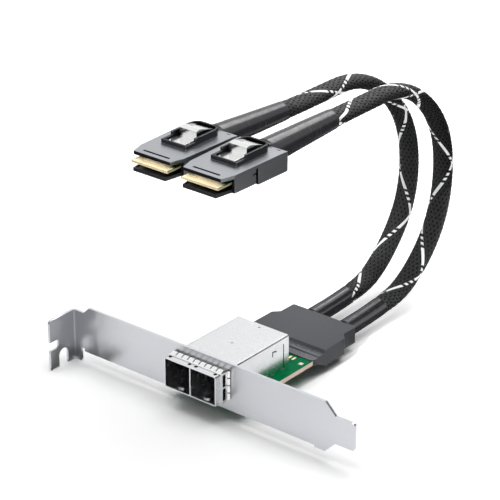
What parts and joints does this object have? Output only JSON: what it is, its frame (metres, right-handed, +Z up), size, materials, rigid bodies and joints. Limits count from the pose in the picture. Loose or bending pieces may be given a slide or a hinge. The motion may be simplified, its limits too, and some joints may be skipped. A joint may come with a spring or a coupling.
{
  "type": "mini sas slot adapter",
  "caption": "Slot bracket carrying a metal connector cage on a small circuit board, with braided cables that loop up from a moulded block to flat latched plugs.",
  "frame": {"origin": "under the middle of the box round the bracket, cage, board and overmould, on the surface they stand on", "axes": "+X along the bracket from its flange to its tongue, +Y from the ports to the cables, +Z up"},
  "size_m": [0.12, 0.1406, 0.0956],
  "materials": {
    "bracket_steel": "bright plated",
    "cage_metal": "tinned",
    "spring_metal": "polished",
    "black_plastic": "satin",
    "contact_gold": "gold plated",
    "board": "solder resist",
    "mould_grey": "satin",
    "braid": "woven sleeve",
    "sleeve": "gloss",
    "plug_metal": "fine grain"
  },
  "bodies": {
    "adapter": {"slot_bracket": "bracket_steel", "cage_shell": "cage_metal", "cage_floor": "cage_metal", "port_divider": "cage_metal", "spring_collar": "spring_metal", "left_receptacle": "black_plastic", "right_receptacle": "black_plastic", "left_receptacle_contacts": "contact_gold", "right_receptacle_contacts": "contact_gold", "circuit_board": "board", "board_pads": "contact_gold", "overmould": "mould_grey", "left_cable": "braid", "left_lower_sleeve": "sleeve", "left_upper_sleeve": "sleeve", "left_plug_upper_shell": "plug_metal", "left_plug_rear_shell": "plug_metal", "left_plug_guide_plate": "black_plastic", "left_plug_paddle_card": "board", "left_plug_card_contacts": "contact_gold", "left_plug_inner_mould": "black_plastic", "right_cable": "braid", "right_lower_sleeve": "sleeve", "right_upper_sleeve": "sleeve", "right_plug_upper_shell": "plug_metal", "right_plug_rear_shell": "plug_metal", "right_plug_guide_plate": "black_plastic", "right_plug_paddle_card": "board", "right_plug_card_contacts": "contact_gold", "right_plug_inner_mould": "black_plastic"},
    "left_latch": {"left_plug_latch_leaf": "spring_metal"},
    "right_latch": {"right_plug_latch_leaf": "spring_metal"}
  },
  "joints": [
    {"name": "left_latch_press", "type": "hinge", "parent": "adapter", "child": "left_latch", "pos_m": [-0.01205, -0.02644, 0.08935], "axis": [-1, 0, 0], "range_deg": [0, 5], "stiffness_Nm_per_rad": 0.4},
    {"name": "right_latch_press", "type": "hinge", "parent": "adapter", "child": "right_latch", "pos_m": [0.00835, -0.02644, 0.08935], "axis": [-1, 0, 0], "range_deg": [0, 5], "stiffness_Nm_per_rad": 0.4}
  ]
}
